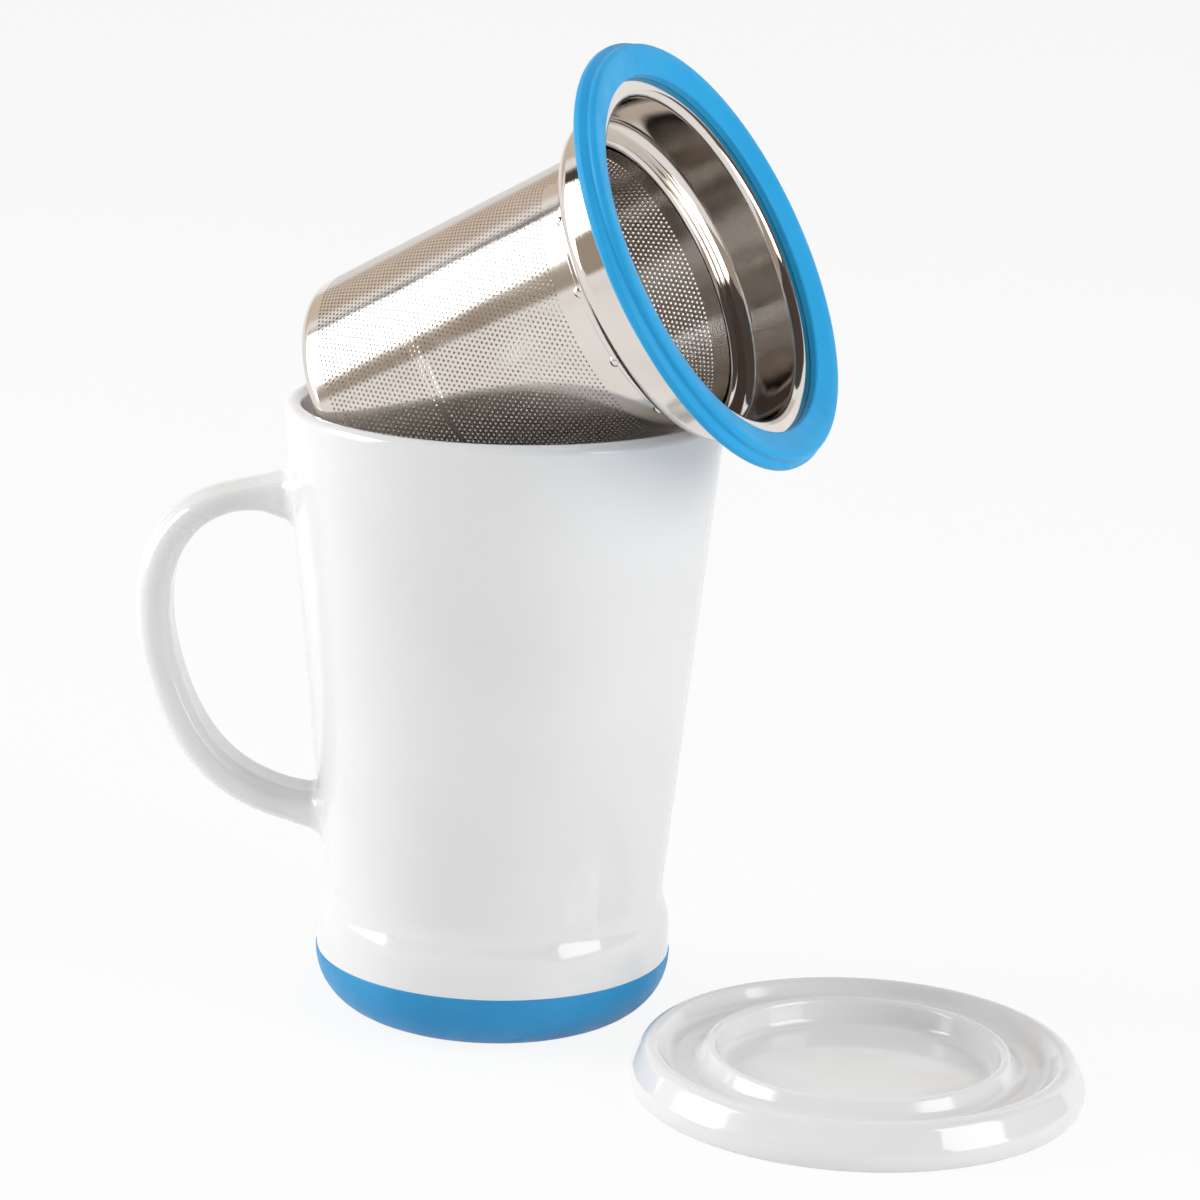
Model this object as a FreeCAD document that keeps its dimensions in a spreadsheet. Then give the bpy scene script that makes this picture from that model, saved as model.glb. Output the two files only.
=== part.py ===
"""A tea mug with a steel infuser and a loose ceramic lid, in millimetres.

The infuser lies tilted across the mug's mouth, as it is left to drain, and the lid lies on the table
beside the mug with the face that closes the mug upwards. The origin is the middle of the silicone
boot's underside, +Z is up, and the handle points along -X.
"""
import FreeCAD, Part
import math
import os
import re

from FreeCAD import Placement, Rotation, Vector
import Sketcher

# Driving dimensions: alias, value and what it measures. Lengths are in mm and angles in degrees.
SIZES = [
    ("mug_height", 127.0, "table to the top of the lip"),
    ("rim_radius", 44.45, "outside of the mug at its lip"),
    ("wall", 3.7, "ceramic wall of the mug"),
    ("waist_radius", 34.75, "outside of the crease above the foot"),
    ("waist_height", 24.8, "table to the crease"),
    ("waist_bend", 2.5, "radius that softens the crease"),
    ("bulge_radius", 36.45, "outside of the foot at its widest"),
    ("bulge_height", 16.0, "table to the foot's widest place"),
    ("bulge_bend", 24.0, "radius of the foot's curve above its widest place"),
    ("floor_top", 8.0, "table to the floor inside the mug"),
    ("floor_bend", 9.0, "radius between the floor and the wall inside"),
    ("boot_height", 12.8, "table to the boot's upper edge"),
    ("boot_wall", 1.9, "silicone of the boot"),
    ("boot_proud", 0.2, "how far the boot stands out past the ceramic at its edge"),
    ("boot_bend", 13.0, "radius of the boot's outer curve"),
    ("boot_edge", 0.5, "radius of the boot's upper edge"),
    ("handle_drop", 19.8, "top of the lip to the middle of the upper root"),
    ("handle_rise", 40.2, "table to the middle of the lower root"),
    ("handle_reach", 30.5, "wall to the middle of the grip where it is furthest out"),
    ("handle_top_depth", 10.4, "height of the upper root where it meets the wall"),
    ("handle_arm_depth", 5.5, "thickness of the upper arm"),
    ("handle_depth", 7.5, "thickness of the grip, towards the mug"),
    ("handle_low_depth", 8.8, "height of the lower root where it meets the wall"),
    ("handle_width", 13.4, "the grip's width, front to back"),
    ("handle_root_width", 16.0, "the roots' width, front to back"),
    ("handle_bend", 3.1, "radius of the handle's long edges where it is thick enough"),
    ("handle_crown", 0.9, "how far the grip's outer face is domed"),
    ("basket_depth", 78.9, "seat of the silicone ring to the basket's underside"),
    ("basket_taper", 1.45, "how much narrower the basket is at its floor than at its top"),
    ("basket_bend", 2.4, "outer radius between the basket's floor and its side"),
    ("mesh_sheet", 0.45, "perforated steel of the sleeve and the floor"),
    ("sleeve_lap", 1.6, "how far the sleeve runs up inside the collar's neck"),
    ("collar_sheet", 0.6, "drawn steel of the collar"),
    ("collar_clearance", 3.2, "play between the collar's wall and the silicone plug round it"),
    ("collar_depth", 11.1, "seat of the silicone ring to the shoulder inside the collar"),
    ("shoulder_width", 5.0, "inside of the collar's wall to the inside of its neck"),
    ("shoulder_bend", 2.6, "inner radius between the collar's wall and shoulder"),
    ("neck_bend", 0.9, "inner radius between the collar's shoulder and neck"),
    ("neck_length", 2.7, "shoulder to the end of the neck"),
    ("neck_clearance", 0.05, "play between the sleeve and the neck around it"),
    ("flange_overlap", 0.45, "how far the collar's flange reaches past the mug's mouth"),
    ("flange_bend", 1.3, "outer radius between the flange and the wall"),
    ("flange_height", 0.6, "seat of the silicone ring to the flange's underside"),
    ("ring_inset", 0.5, "how far the ring's front stays inside the mug's rim"),
    ("ring_overhang", 0.25, "how far the ring's edge above its seat stands past the rim"),
    ("ring_lip", 3.5, "inside of the collar's wall to the opening of the ring's front"),
    ("ring_height", 4.3, "seat of the silicone ring to its front"),
    ("ring_groove", 0.35, "depth of the finger groove round the silicone ring"),
    ("ring_edge", 0.8, "radius of the silicone ring's outer edges"),
    ("ring_dish", 0.35, "how far the front sinks towards its opening"),
    ("plug_length", 2.2, "how far the silicone ring reaches down inside the mouth"),
    ("plug_clearance", 0.45, "play between the mouth and the silicone in it"),
    ("plug_wall", 2.6, "silicone of the part that sits in the mouth"),
    ("weld_count", 12, "spot welds round the neck's end"),
    ("weld_radius", 1.3, "radius of a weld bead where it meets the steel"),
    ("weld_height", 0.5, "how far a weld bead stands out from the neck's end"),
    ("weld_bearing", 24.0, "angle from the infuser's highest side to its first weld"),
    ("infuser_bearing", -22.76, "bearing of the infuser's open end, from +X"),
    ("infuser_aside", 2.4, "how far the infuser's axis passes in front of the mug's"),
    ("hook_gap", 1.1, "space between the collar's neck and the lip that it hooks over"),
    ("rest_gap", 0.5, "space between the sleeve and the lip that it lies on"),
    ("floor_gap", 0.55, "space between the basket's floor and the mug's wall"),
    ("lid_overhang", 1.15, "how far the lid's edge stands past the mug's rim"),
    ("lid_height", 8.95, "table to the crest of the lid"),
    ("lid_edge", 1.1, "radius of the lid's lower edge"),
    ("crest_bend", 2.0, "radius over the crest that seats on the silicone ring"),
    ("channel_depth", 3.4, "crest to the bottom of the ring-shaped channel"),
    ("channel_bend", 3.0, "radius at the channel's sides"),
    ("ridge_bend", 1.2, "radius over the ridge round the well"),
    ("well_clearance", 0.7, "play round the basket when it is stood in the lid's well"),
    ("well_floor", 3.6, "table to the floor of the well"),
    ("well_bend", 2.0, "radius between the well's floor and its side"),
    ("lid_bearing", -31.93, "bearing of the lid from the mug, from +X"),
    ("lid_space", 4.6, "table left free between the boot and the lid"),
]

# Worked-out dimensions: alias and formula.
DERIVED = [
    ("lip", "=wall / 2"),
    ("lip_height", "=mug_height - lip"),
    ("lip_circle", "=rim_radius - lip"),
    ("mouth_radius", "=rim_radius - wall"),
    ("wall_slope", "=(rim_radius - waist_radius) / (lip_height - waist_height)"),
    ("boot_radius", "=bulge_radius + boot_proud"),
    ("boot_base", "=boot_radius - boot_bend"),
    ("floor_inner", "=waist_radius - wall - wall_slope * (waist_height - floor_top)"),
    ("handle_top", "=mug_height - handle_drop"),
    ("handle_span", "=handle_top - handle_rise"),
    ("plug_radius", "=mouth_radius - plug_clearance"),
    ("collar_radius", "=plug_radius - plug_wall - collar_clearance - collar_sheet"),
    ("neck_radius", "=collar_radius - shoulder_width"),
    ("neck_end", "=-collar_depth - neck_length"),
    ("sleeve_radius", "=neck_radius - neck_clearance"),
    ("basket_radius", "=sleeve_radius - basket_taper"),
    ("flange_radius", "=mouth_radius + flange_overlap"),
    ("flange_top", "=flange_height + collar_sheet"),
    ("ring_radius", "=rim_radius - ring_inset"),
    ("ring_skirt", "=rim_radius + ring_overhang"),
    ("ring_mouth", "=collar_radius + ring_lip"),
    ("lid_radius", "=rim_radius + lid_overhang"),
    ("crest_radius", "=(ring_mouth + flange_radius + ring_radius) / 3"),
    ("well_radius", "=basket_radius + well_clearance"),
    ("ridge_radius", "=well_radius + ridge_bend"),
    ("outer_drop", "=channel_depth - (crest_bend + channel_bend) * 2 / 5"),
    ("inner_drop", "=channel_depth - (ridge_bend + channel_bend) / 5"),
    ("channel_outer", "=crest_radius - (crest_bend + channel_bend) * 4 / 5 - outer_drop * 3 / 4"),
    ("channel_inner", "=ridge_radius + (ridge_bend + channel_bend) * 3 / 5 + inner_drop * 4 / 3"),
    ("lid_distance", "=boot_radius + lid_space + lid_radius"),
]

FULL_TURN = 360.0
STEEPEST = 45.0
STEPS_ROUND = 120
HALVINGS = 20
UP = Vector(0, 0, 1)

doc = FreeCAD.newDocument("tea_mug")


def make_sheet():
    """The spreadsheet that holds every driving and worked-out dimension."""
    sheet = doc.addObject("Spreadsheet::Sheet", "Sizes")
    rows = SIZES + [(alias, formula, "worked out") for alias, formula in DERIVED]
    for row, (alias, value, meaning) in enumerate(rows, start=1):
        sheet.set(f"A{row}", meaning)
        sheet.set(f"B{row}", str(value))
        sheet.setAlias(f"B{row}", alias)
    doc.recompute()
    return sheet


sizes = make_sheet()


def size(formula):
    """The value of a formula over the spreadsheet's aliases."""
    return float(sizes.evalExpression(formula))


def bound(formula):
    """The formula with each alias written as the spreadsheet's own, for use in another object."""
    aliases = {alias for alias, *_ in SIZES + DERIVED}
    words = re.split(r"(\w+)", formula)
    return "".join(f"Sizes.{word}" if word in aliases else word for word in words)


def new_body(label):
    body = doc.addObject("PartDesign::Body", label)
    body.Label = label
    return body


def upright_plane(body):
    """The body's own XZ plane."""
    return next(plane for plane in body.Origin.OriginFeatures if plane.Role == "XZ_Plane")


def arc_between(start, end, radius, side):
    """The short arc from start to end, with its centre to the left or to the right of that way."""
    middle, chord = (start + end) * 0.5, end - start
    rise = math.sqrt(max(radius * radius - chord.Length ** 2 / 4, 0.0))
    left = Vector(-chord.y, chord.x, 0).normalize()
    centre = middle + left * (rise if side == "left" else -rise)
    circle = Part.Circle(centre, Vector(0, 0, 1), radius)
    first, last = (start, end) if side == "left" else (end, start)
    return Part.ArcOfCircle(circle, circle.parameter(first), circle.parameter(last))


def outline(body, name, corners, placement=None):
    """A closed sketch through corners, each (across, up) or (across, up, arc radius, side).

    All but side are formulas, and they drive the sketch. An arc leads to the next corner, and its
    centre is on the named side of the way there. With no placement the sketch stands on the body's
    XZ plane, where across is the distance from the axis.
    """
    sketch = body.newObject("Sketcher::SketchObject", name)
    if placement is None:
        sketch.AttachmentSupport = [(upright_plane(body), "")]
        sketch.MapMode = "FlatFace"
    else:
        sketch.Placement = placement
    points = [Vector(size(corner[0]), size(corner[1]), 0) for corner in corners]
    first_end = []
    for index, corner in enumerate(corners):
        start, end = points[index], points[(index + 1) % len(points)]
        if len(corner) == 2:
            sketch.addGeometry(Part.LineSegment(start, end), False)
            first_end.append(1)
            continue
        radius, side = corner[2:]
        sketch.addGeometry(arc_between(start, end, size(radius), side), False)
        first_end.append(1 if side == "left" else 2)
        bend = sketch.addConstraint(Sketcher.Constraint("Radius", index, size(radius)))
        sketch.setExpression(f"Constraints[{bend}]", bound(radius))
    for index, corner in enumerate(corners):
        before = (index - 1) % len(corners)
        here, there = first_end[index], 3 - first_end[before]
        sketch.addConstraint(Sketcher.Constraint("Coincident", before, there, index, here))
        for axis, formula, place in (("DistanceX", corner[0], points[index].x),
                                     ("DistanceY", corner[1], points[index].y)):
            fixed = sketch.addConstraint(
                Sketcher.Constraint(axis, -1, 1, index, here, place))
            sketch.setExpression(f"Constraints[{fixed}]", bound(formula))
    return sketch


def turned(label, corners):
    """A body turned about its Z axis from one outline."""
    body = new_body(label)
    turn = body.newObject("PartDesign::Revolution", f"{label}_turn")
    turn.Profile = outline(body, f"{label}_outline", corners)
    turn.ReferenceAxis = (turn.Profile[0], ["V_Axis"])
    turn.Angle = FULL_TURN
    return body


def mug_body():
    """The cup: a straight taper over a creased waist and a foot that the boot's curve finishes."""
    boot_seat = "boot_radius - boot_wall"
    taper_end = "waist_height + waist_bend / 2"
    crease_end = "waist_height - waist_bend / 2"
    return turned("mug_body", [
        ("0", "floor_top"),
        ("floor_inner - floor_bend", "floor_top", "floor_bend", "left"),
        ("floor_inner + wall_slope * floor_bend", "floor_top + floor_bend"),
        ("mouth_radius", "lip_height", "lip", "right"),
        ("lip_circle", "mug_height", "lip", "right"),
        ("rim_radius", "lip_height"),
        ("waist_radius + wall_slope * waist_bend / 2", taper_end, "waist_bend * 3", "left"),
        ("waist_radius + waist_bend / 6", crease_end, "bulge_bend", "right"),
        ("bulge_radius", "bulge_height"),
        ("bulge_radius", "boot_height"),
        (boot_seat, "boot_height", "boot_bend - boot_wall", "right"),
        ("boot_base", "boot_wall"),
        ("0", "boot_wall"),
    ])


def base_boot():
    """The silicone boot that the foot sits in, rounded under to a flat base."""
    return turned("base_boot", [
        ("0", "0"),
        ("boot_base", "0", "boot_bend", "left"),
        ("boot_radius", "boot_height - boot_edge", "boot_edge", "left"),
        ("boot_radius - boot_edge", "boot_height"),
        ("boot_radius - boot_wall", "boot_height", "boot_bend - boot_wall", "right"),
        ("boot_base", "boot_wall"),
        ("0", "boot_wall"),
    ])


def wall_radius(height):
    """Outside of the mug's taper at a height above the table."""
    return size("rim_radius") - size("wall_slope") * (size("lip_height") - height)


# The handle's middle line: share of the way from the lower root up to the upper one, and share of
# the handle's reach. The roots themselves lie inside the wall.
HANDLE_LINE = [
    (0.989, 0.360), (0.929, 0.674), (0.808, 0.895), (0.661, 0.989), (0.511, 0.991),
    (0.366, 0.930), (0.231, 0.812), (0.119, 0.616), (0.046, 0.342),
]

# The handle's sections: share of the way along its line, the two depths and the two widths that
# it lies between, and how far it is from the first to the second.
ROOT, GRIP = "handle_root_width", "handle_width"
HANDLE_SECTIONS = [
    (0.0, "handle_top_depth", "handle_arm_depth", ROOT, GRIP, 0.0),
    (0.03, "handle_top_depth", "handle_arm_depth", ROOT, GRIP, 0.2),
    (0.075, "handle_top_depth", "handle_arm_depth", ROOT, GRIP, 0.8),
    (0.12, "handle_top_depth", "handle_arm_depth", ROOT, GRIP, 1.0),
    (0.165, "handle_arm_depth", "handle_depth", GRIP, GRIP, 0.15),
    (0.215, "handle_arm_depth", "handle_depth", GRIP, GRIP, 0.55),
    (0.265, "handle_arm_depth", "handle_depth", GRIP, GRIP, 0.9),
    (0.32, "handle_arm_depth", "handle_depth", GRIP, GRIP, 1.0),
    (0.46, "handle_depth", "handle_depth", GRIP, GRIP, 1.0),
    (0.62, "handle_depth", "handle_depth", GRIP, GRIP, 1.0),
    (0.78, "handle_depth", "handle_depth", GRIP, GRIP, 1.0),
    (0.92, "handle_low_depth", "handle_depth", ROOT, GRIP, 0.95),
    (0.97, "handle_low_depth", "handle_depth", ROOT, GRIP, 0.5),
    (1.0, "handle_low_depth", "handle_depth", ROOT, GRIP, 0.0),
]


def handle_line():
    """The middle line of the handle, from inside the wall at the upper root to the lower one."""
    inside = -size("wall") / 2
    low, span, reach = size("handle_rise"), size("handle_span"), size("handle_reach")
    stations = [(low + span, inside)]
    stations += [(low + span * up, reach * out) for up, out in HANDLE_LINE]
    stations.append((low, inside))
    line = Part.BSplineCurve()
    line.interpolate([Vector(-wall_radius(height) - out, 0, height) for height, out in stations])
    return line


def handle_section(depth, width):
    """Corners of a rounded oblong with a domed outer face: across is outwards, up is sideways."""
    bend = f"min(handle_bend; ({depth} - handle_crown) / 2.05)"
    out, back = f"({depth}) / 2", f"0 - ({depth}) / 2"
    far, near = f"({width}) / 2", f"0 - ({width}) / 2"
    inner_out, inner_far = f"{out} - {bend}", f"{far} - {bend}"
    inner_back, inner_near = f"{back} + {bend}", f"{near} + {bend}"
    dome = f"(({inner_far}) * ({inner_far}) + handle_crown * handle_crown) / (2 * handle_crown)"
    shoulder = f"{out} - handle_crown"
    return [
        (shoulder, inner_near, dome, "left"),
        (shoulder, inner_far, bend, "left"),
        (f"{inner_out} - handle_crown", far),
        (inner_back, far, bend, "left"),
        (back, inner_far),
        (back, inner_near, bend, "left"),
        (inner_back, near),
        (f"{inner_out} - handle_crown", near, bend, "left"),
    ]


def mug_handle():
    """The strap handle: lofted along its line, then cut to the mug's taper at both roots."""
    body = new_body("mug_handle")
    line = handle_line()
    sketches = []
    for index, (share, *between, blend) in enumerate(HANDLE_SECTIONS):
        depth, width = (f"{first} + ({second} - {first}) * {blend}"
                        for first, second in (between[:2], between[2:]))
        along = line.FirstParameter + share * (line.LastParameter - line.FirstParameter)
        ahead = line.tangent(along)[0]
        side = Vector(0, 1, 0)
        outward = side.cross(ahead)
        turn = Rotation(outward, side, ahead * -1, "XYZ")
        sketches.append(outline(body, f"handle_section_{index}", handle_section(depth, width),
                                Placement(line.value(along), turn)))
    loft = body.newObject("PartDesign::AdditiveLoft", "handle_loft")
    loft.Profile = sketches[0]
    loft.Sections = sketches[1:]
    bite = body.newObject("PartDesign::Groove", "handle_bite")
    bite.Profile = outline(body, "handle_bite_outline", [
        ("0", "waist_height"),
        ("waist_radius", "waist_height"),
        ("rim_radius", "lip_height"),
        ("0", "lip_height"),
    ])
    bite.ReferenceAxis = (bite.Profile[0], ["V_Axis"])
    bite.Angle = FULL_TURN
    return body


def basket_sleeve():
    """The tapered sleeve of the basket, open at both ends."""
    top, low = "neck_end + sleeve_lap", "0 - basket_depth + basket_bend"
    return turned("basket_sleeve", [
        ("basket_radius", low),
        ("sleeve_radius", top),
        ("sleeve_radius - mesh_sheet", top),
        ("basket_radius - mesh_sheet", low),
    ])


def basket_floor():
    """The drawn floor of the basket, whose turned-up edge meets the sleeve's end."""
    seam, base = "0 - basket_depth + basket_bend", "0 - basket_depth"
    return turned("basket_floor", [
        ("0", base),
        ("basket_radius - basket_bend", base, "basket_bend", "left"),
        ("basket_radius", seam),
        ("basket_radius - mesh_sheet", seam, "basket_bend - mesh_sheet", "right"),
        ("basket_radius - basket_bend", f"{base} + mesh_sheet"),
        ("0", f"{base} + mesh_sheet"),
    ])


def infuser_collar():
    """The deep-drawn collar: flange, wall, shoulder and the neck that holds the sleeve."""
    outside = "collar_radius + collar_sheet"
    neck_outside = "neck_radius + collar_sheet"
    shoulder, underside = "0 - collar_depth", "0 - collar_depth - collar_sheet"
    shoulder_in = "collar_radius - shoulder_bend"
    return turned("infuser_collar", [
        ("flange_radius", "flange_height"),
        ("flange_radius", "flange_top"),
        ("collar_radius + collar_sheet + flange_bend", "flange_top", "flange_bend + collar_sheet",
         "left"),
        ("collar_radius", "flange_height - flange_bend"),
        ("collar_radius", f"{shoulder} + shoulder_bend", "shoulder_bend", "right"),
        (shoulder_in, shoulder),
        ("neck_radius + neck_bend + collar_sheet", shoulder, "neck_bend + collar_sheet", "left"),
        ("neck_radius", f"{underside} - neck_bend"),
        ("neck_radius", "neck_end"),
        (neck_outside, "neck_end"),
        (neck_outside, f"{underside} - neck_bend", "neck_bend", "right"),
        (f"{neck_outside} + neck_bend", underside),
        (shoulder_in, underside, "shoulder_bend + collar_sheet", "left"),
        (outside, f"{shoulder} + shoulder_bend"),
        (outside, "flange_height - flange_bend", "flange_bend", "right"),
        (f"{outside} + flange_bend", "flange_height"),
    ])


def seal_ring():
    """The silicone ring, moulded round the flange: a front lip, a seat and a plug for the mouth."""
    front_edge = "ring_radius - ring_edge"
    groove = "ring_height - ring_edge * 2"
    skirt_top = "ring_edge * 2"
    return turned("seal_ring", [
        ("ring_mouth", "flange_top"),
        ("ring_mouth", "ring_height - ring_dish - ring_edge / 2", "ring_edge / 2", "right"),
        ("ring_mouth + ring_edge / 2", "ring_height - ring_dish"),
        ("ring_mouth + ring_edge * 2", "ring_height - ring_dish"),
        (front_edge, "ring_height", "ring_edge", "right"),
        ("ring_radius", "ring_height - ring_edge"),
        ("ring_radius - ring_groove", groove),
        ("ring_skirt", skirt_top),
        ("ring_skirt", "ring_edge", "ring_edge", "right"),
        ("ring_skirt - ring_edge", "0"),
        ("plug_radius", "0"),
        ("plug_radius - plug_clearance", "0 - plug_length"),
        ("plug_radius - plug_wall", "0 - plug_length"),
        ("plug_radius - plug_wall", "flange_height"),
        ("flange_radius", "flange_height"),
        ("flange_radius", "flange_top"),
    ])


def weld_spots(tilted):
    """The beads that hold the sleeve in the neck, trimmed to the steel that they sit on."""
    steel = doc.addObject("Part::Fuse", "weld_steel")
    steel.Base = doc.addObject("Part::Cylinder", "weld_neck")
    steel.Tool = doc.addObject("Part::Cone", "weld_sleeve")
    for name, formula in (("Radius", "neck_radius + collar_sheet"), ("Height", "neck_length")):
        steel.Base.setExpression(name, bound(formula))
    steel.Base.setExpression("Placement.Base.z", bound("neck_end"))
    for name, formula in (("Radius1", "basket_radius"), ("Radius2", "sleeve_radius"),
                          ("Height", "neck_end + sleeve_lap + basket_depth - basket_bend")):
        steel.Tool.setExpression(name, bound(formula))
    steel.Tool.setExpression("Placement.Base.z", bound("0 - basket_depth + basket_bend"))
    beads = []
    count = int(size("weld_count"))
    for index in range(count):
        bead = doc.addObject("Part::Cone", f"weld_bead_{index}")
        for name, formula in (("Radius1", "weld_radius"), ("Radius2", "weld_radius - weld_height"),
                              ("Height", "mesh_sheet + collar_sheet + weld_height")):
            bead.setExpression(name, bound(formula))
        round_axis = Rotation(UP, size("weld_bearing") + FULL_TURN * index / count)
        foot = round_axis.multVec(Vector(size("sleeve_radius - mesh_sheet"), 0, size("neck_end")))
        bead.Placement = Placement(foot, round_axis.multiply(Rotation(UP, Vector(1, 0, 0))))
        trimmed = doc.addObject("Part::Cut", f"weld_{index}")
        trimmed.Base, trimmed.Tool = bead, steel
        beads.append(trimmed)
    group = doc.addObject("Part::Compound", "weld_spots")
    group.Label = "weld_spots"
    group.Links = beads
    group.Placement = tilted
    return group


def lid():
    """The lid, crest upwards: a slope, a crest, a shallow channel, a ridge and the well inside it.

    The channel's steep outer side falls 4 for every 3 across and its inner side 3 for every 4, and
    the bends at both ends of each side meet it tangent. The slope outside the crest falls 12 for 5.
    """
    channel = "lid_height - channel_depth"
    body = turned("lid", [
        ("0", "0"),
        ("lid_radius - lid_edge", "0", "lid_edge", "left"),
        ("lid_radius", "lid_edge"),
        ("crest_radius + crest_bend * 12 / 13", "lid_height - crest_bend * 8 / 13", "crest_bend", "left"),
        ("crest_radius", "lid_height", "crest_bend", "left"),
        ("crest_radius - crest_bend * 4 / 5", "lid_height - crest_bend * 2 / 5"),
        ("channel_outer + channel_bend * 4 / 5", f"{channel} + channel_bend * 2 / 5", "channel_bend",
         "right"),
        ("channel_outer", channel),
        ("channel_inner", channel, "channel_bend", "right"),
        ("channel_inner - channel_bend * 3 / 5", f"{channel} + channel_bend / 5"),
        ("ridge_radius + ridge_bend * 3 / 5", "lid_height - ridge_bend / 5", "ridge_bend", "left"),
        ("ridge_radius", "lid_height", "ridge_bend", "left"),
        ("well_radius", "lid_height - ridge_bend"),
        ("well_radius - well_bend / 4", "well_floor + well_bend", "well_bend", "right"),
        ("well_radius - well_bend * 5 / 4", "well_floor"),
        ("0", "well_floor"),
    ])
    bearing = Rotation(UP, size("lid_bearing"))
    body.Placement = Placement(bearing.multVec(Vector(size("lid_distance"), 0, 0)), bearing)
    return body


def space_to_mug(point):
    """Distance from a point to the mug's lip, or to the wall inside where it is below the lip."""
    from_axis = math.hypot(point.x, point.y)
    if point.z < size("lip_height") and from_axis < size("lip_circle"):
        narrower = size("wall_slope") * (size("lip_height") - point.z)
        return size("mouth_radius") - narrower - from_axis
    lip = math.hypot(from_axis - size("lip_circle"), point.z - size("lip_height"))
    return lip - size("lip")


def hooked(tilt):
    """The infuser's place at a tilt, with its sleeve on the lip and its neck hooked over it."""
    lip_circle, beside = size("lip_circle"), size("sleeve_radius + lip + rest_gap")
    above_lip = (beside - lip_circle * math.sin(tilt)) / math.cos(tilt)
    along = lip_circle * math.cos(tilt) - above_lip * math.sin(tilt)
    along += math.sqrt(size("lip + hook_gap") ** 2
                       - (beside - size("neck_radius + collar_sheet")) ** 2)
    bearing = Rotation(UP, size("infuser_bearing"))
    turn = bearing.multiply(Rotation(Vector(0, 1, 0), 90 - math.degrees(tilt)))
    crossing = bearing.multVec(Vector(0, -size("infuser_aside"), 0))
    crossing.z = size("lip_height") + above_lip
    return Placement(crossing + turn.multVec(UP) * (along - size("neck_end")), turn)


def floor_room(place):
    """The least space between the basket's lower edge and the mug."""
    middle = Vector(0, 0, size("basket_bend - basket_depth"))
    edge = Vector(size("basket_radius - basket_bend"), 0, 0)
    turns = (Rotation(UP, FULL_TURN * step / STEPS_ROUND) for step in range(STEPS_ROUND))
    return min(space_to_mug(place.multVec(middle + turn.multVec(edge))) - size("basket_bend")
               for turn in turns)


def infuser_rest():
    """Where the infuser comes to rest across the mouth.

    Its sleeve lies on the lip, its neck hooks over the lip, and it tilts until the edge of its
    floor meets the far side of the mug, each with its own gap left.
    """
    flat, steep = 0.0, math.radians(STEEPEST)
    for _ in range(HALVINGS):
        half = (flat + steep) / 2
        if floor_room(hooked(half)) > size("floor_gap"):
            flat = half
        else:
            steep = half
    return hooked(flat)


def check(pieces):
    """Stops the script if an object failed or a piece is no valid solid."""
    for thing in doc.Objects:
        if "Invalid" in thing.State or "Error" in thing.State:
            raise RuntimeError(f"{thing.Label} failed: {thing.State}")
    for piece in pieces:
        if piece.Shape.isNull() or not piece.Shape.isValid() or not piece.Shape.Solids:
            raise RuntimeError(f"{piece.Label} is no valid solid")


def main():
    rest = infuser_rest()
    pieces = [mug_body(), mug_handle(), base_boot(), lid()]
    for make in (basket_sleeve, basket_floor, infuser_collar, seal_ring):
        piece = make()
        piece.Placement = rest
        pieces.append(piece)
    pieces.append(weld_spots(rest))
    doc.recompute()
    check(pieces)
    os.makedirs("parts", exist_ok=True)
    for piece in pieces:
        piece.Shape.exportStep(f"parts/{piece.Label}.step")
        print(f"{piece.Label}: {len(piece.Shape.Solids)} solid(s), {piece.Shape.Volume:.0f} mm3")


main()
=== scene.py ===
import math

import bpy
import numpy as np
from mathutils import Matrix, Vector, geometry

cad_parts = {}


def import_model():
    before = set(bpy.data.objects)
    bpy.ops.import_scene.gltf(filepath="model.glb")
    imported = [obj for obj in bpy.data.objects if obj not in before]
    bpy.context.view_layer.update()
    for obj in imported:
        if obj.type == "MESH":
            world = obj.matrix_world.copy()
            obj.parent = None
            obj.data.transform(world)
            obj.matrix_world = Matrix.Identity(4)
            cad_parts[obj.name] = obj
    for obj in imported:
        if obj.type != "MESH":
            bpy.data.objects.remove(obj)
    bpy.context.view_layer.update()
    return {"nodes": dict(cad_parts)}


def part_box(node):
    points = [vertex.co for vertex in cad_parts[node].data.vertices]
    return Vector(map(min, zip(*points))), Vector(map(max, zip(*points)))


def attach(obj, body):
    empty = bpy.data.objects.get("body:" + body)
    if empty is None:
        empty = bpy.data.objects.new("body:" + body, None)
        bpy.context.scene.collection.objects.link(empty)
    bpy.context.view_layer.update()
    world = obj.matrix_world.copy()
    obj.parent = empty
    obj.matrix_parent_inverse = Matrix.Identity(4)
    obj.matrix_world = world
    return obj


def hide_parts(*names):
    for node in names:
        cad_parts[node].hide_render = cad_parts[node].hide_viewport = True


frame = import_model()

# Lengths are in millimetres until a mesh is made, apart from the lamps', cards' and table's.
MM = 0.001
SEGMENTS = 256
ARC_STEP = math.radians(7.5)


def node_corners(name):
    """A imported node's lowest and highest corners, in millimetres."""
    low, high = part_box(name)
    return low / MM, high / MM


# The mug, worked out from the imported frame.
mug_low, mug_high = node_corners("mug_body")
_, boot_high = node_corners("base_boot")
lid_low, lid_high = node_corners("lid")
MUG_HEIGHT = mug_high.z
RIM_RADIUS = mug_high.y
BOOT_RADIUS = boot_high.y
BOOT_HEIGHT = boot_high.z
BOOT_WALL = mug_low.z
BOOT_BEND = 12.6
BOOT_EDGE_BEND = 0.5
SEAT_RADIUS = BOOT_RADIUS - BOOT_WALL
SEAT_BEND = BOOT_BEND - BOOT_WALL
SEAT_EDGE_BEND = 0.2
STEP_HEIGHT = BOOT_HEIGHT - 0.4
STEP_BEND = 0.3
WALL = 3.7
LIP = WALL / 2
LIP_BEND = 0.99 * LIP
MOUTH_RADIUS = RIM_RADIUS - WALL
WAIST_RADIUS = 34.75
WAIST_HEIGHT = 24.8
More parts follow.
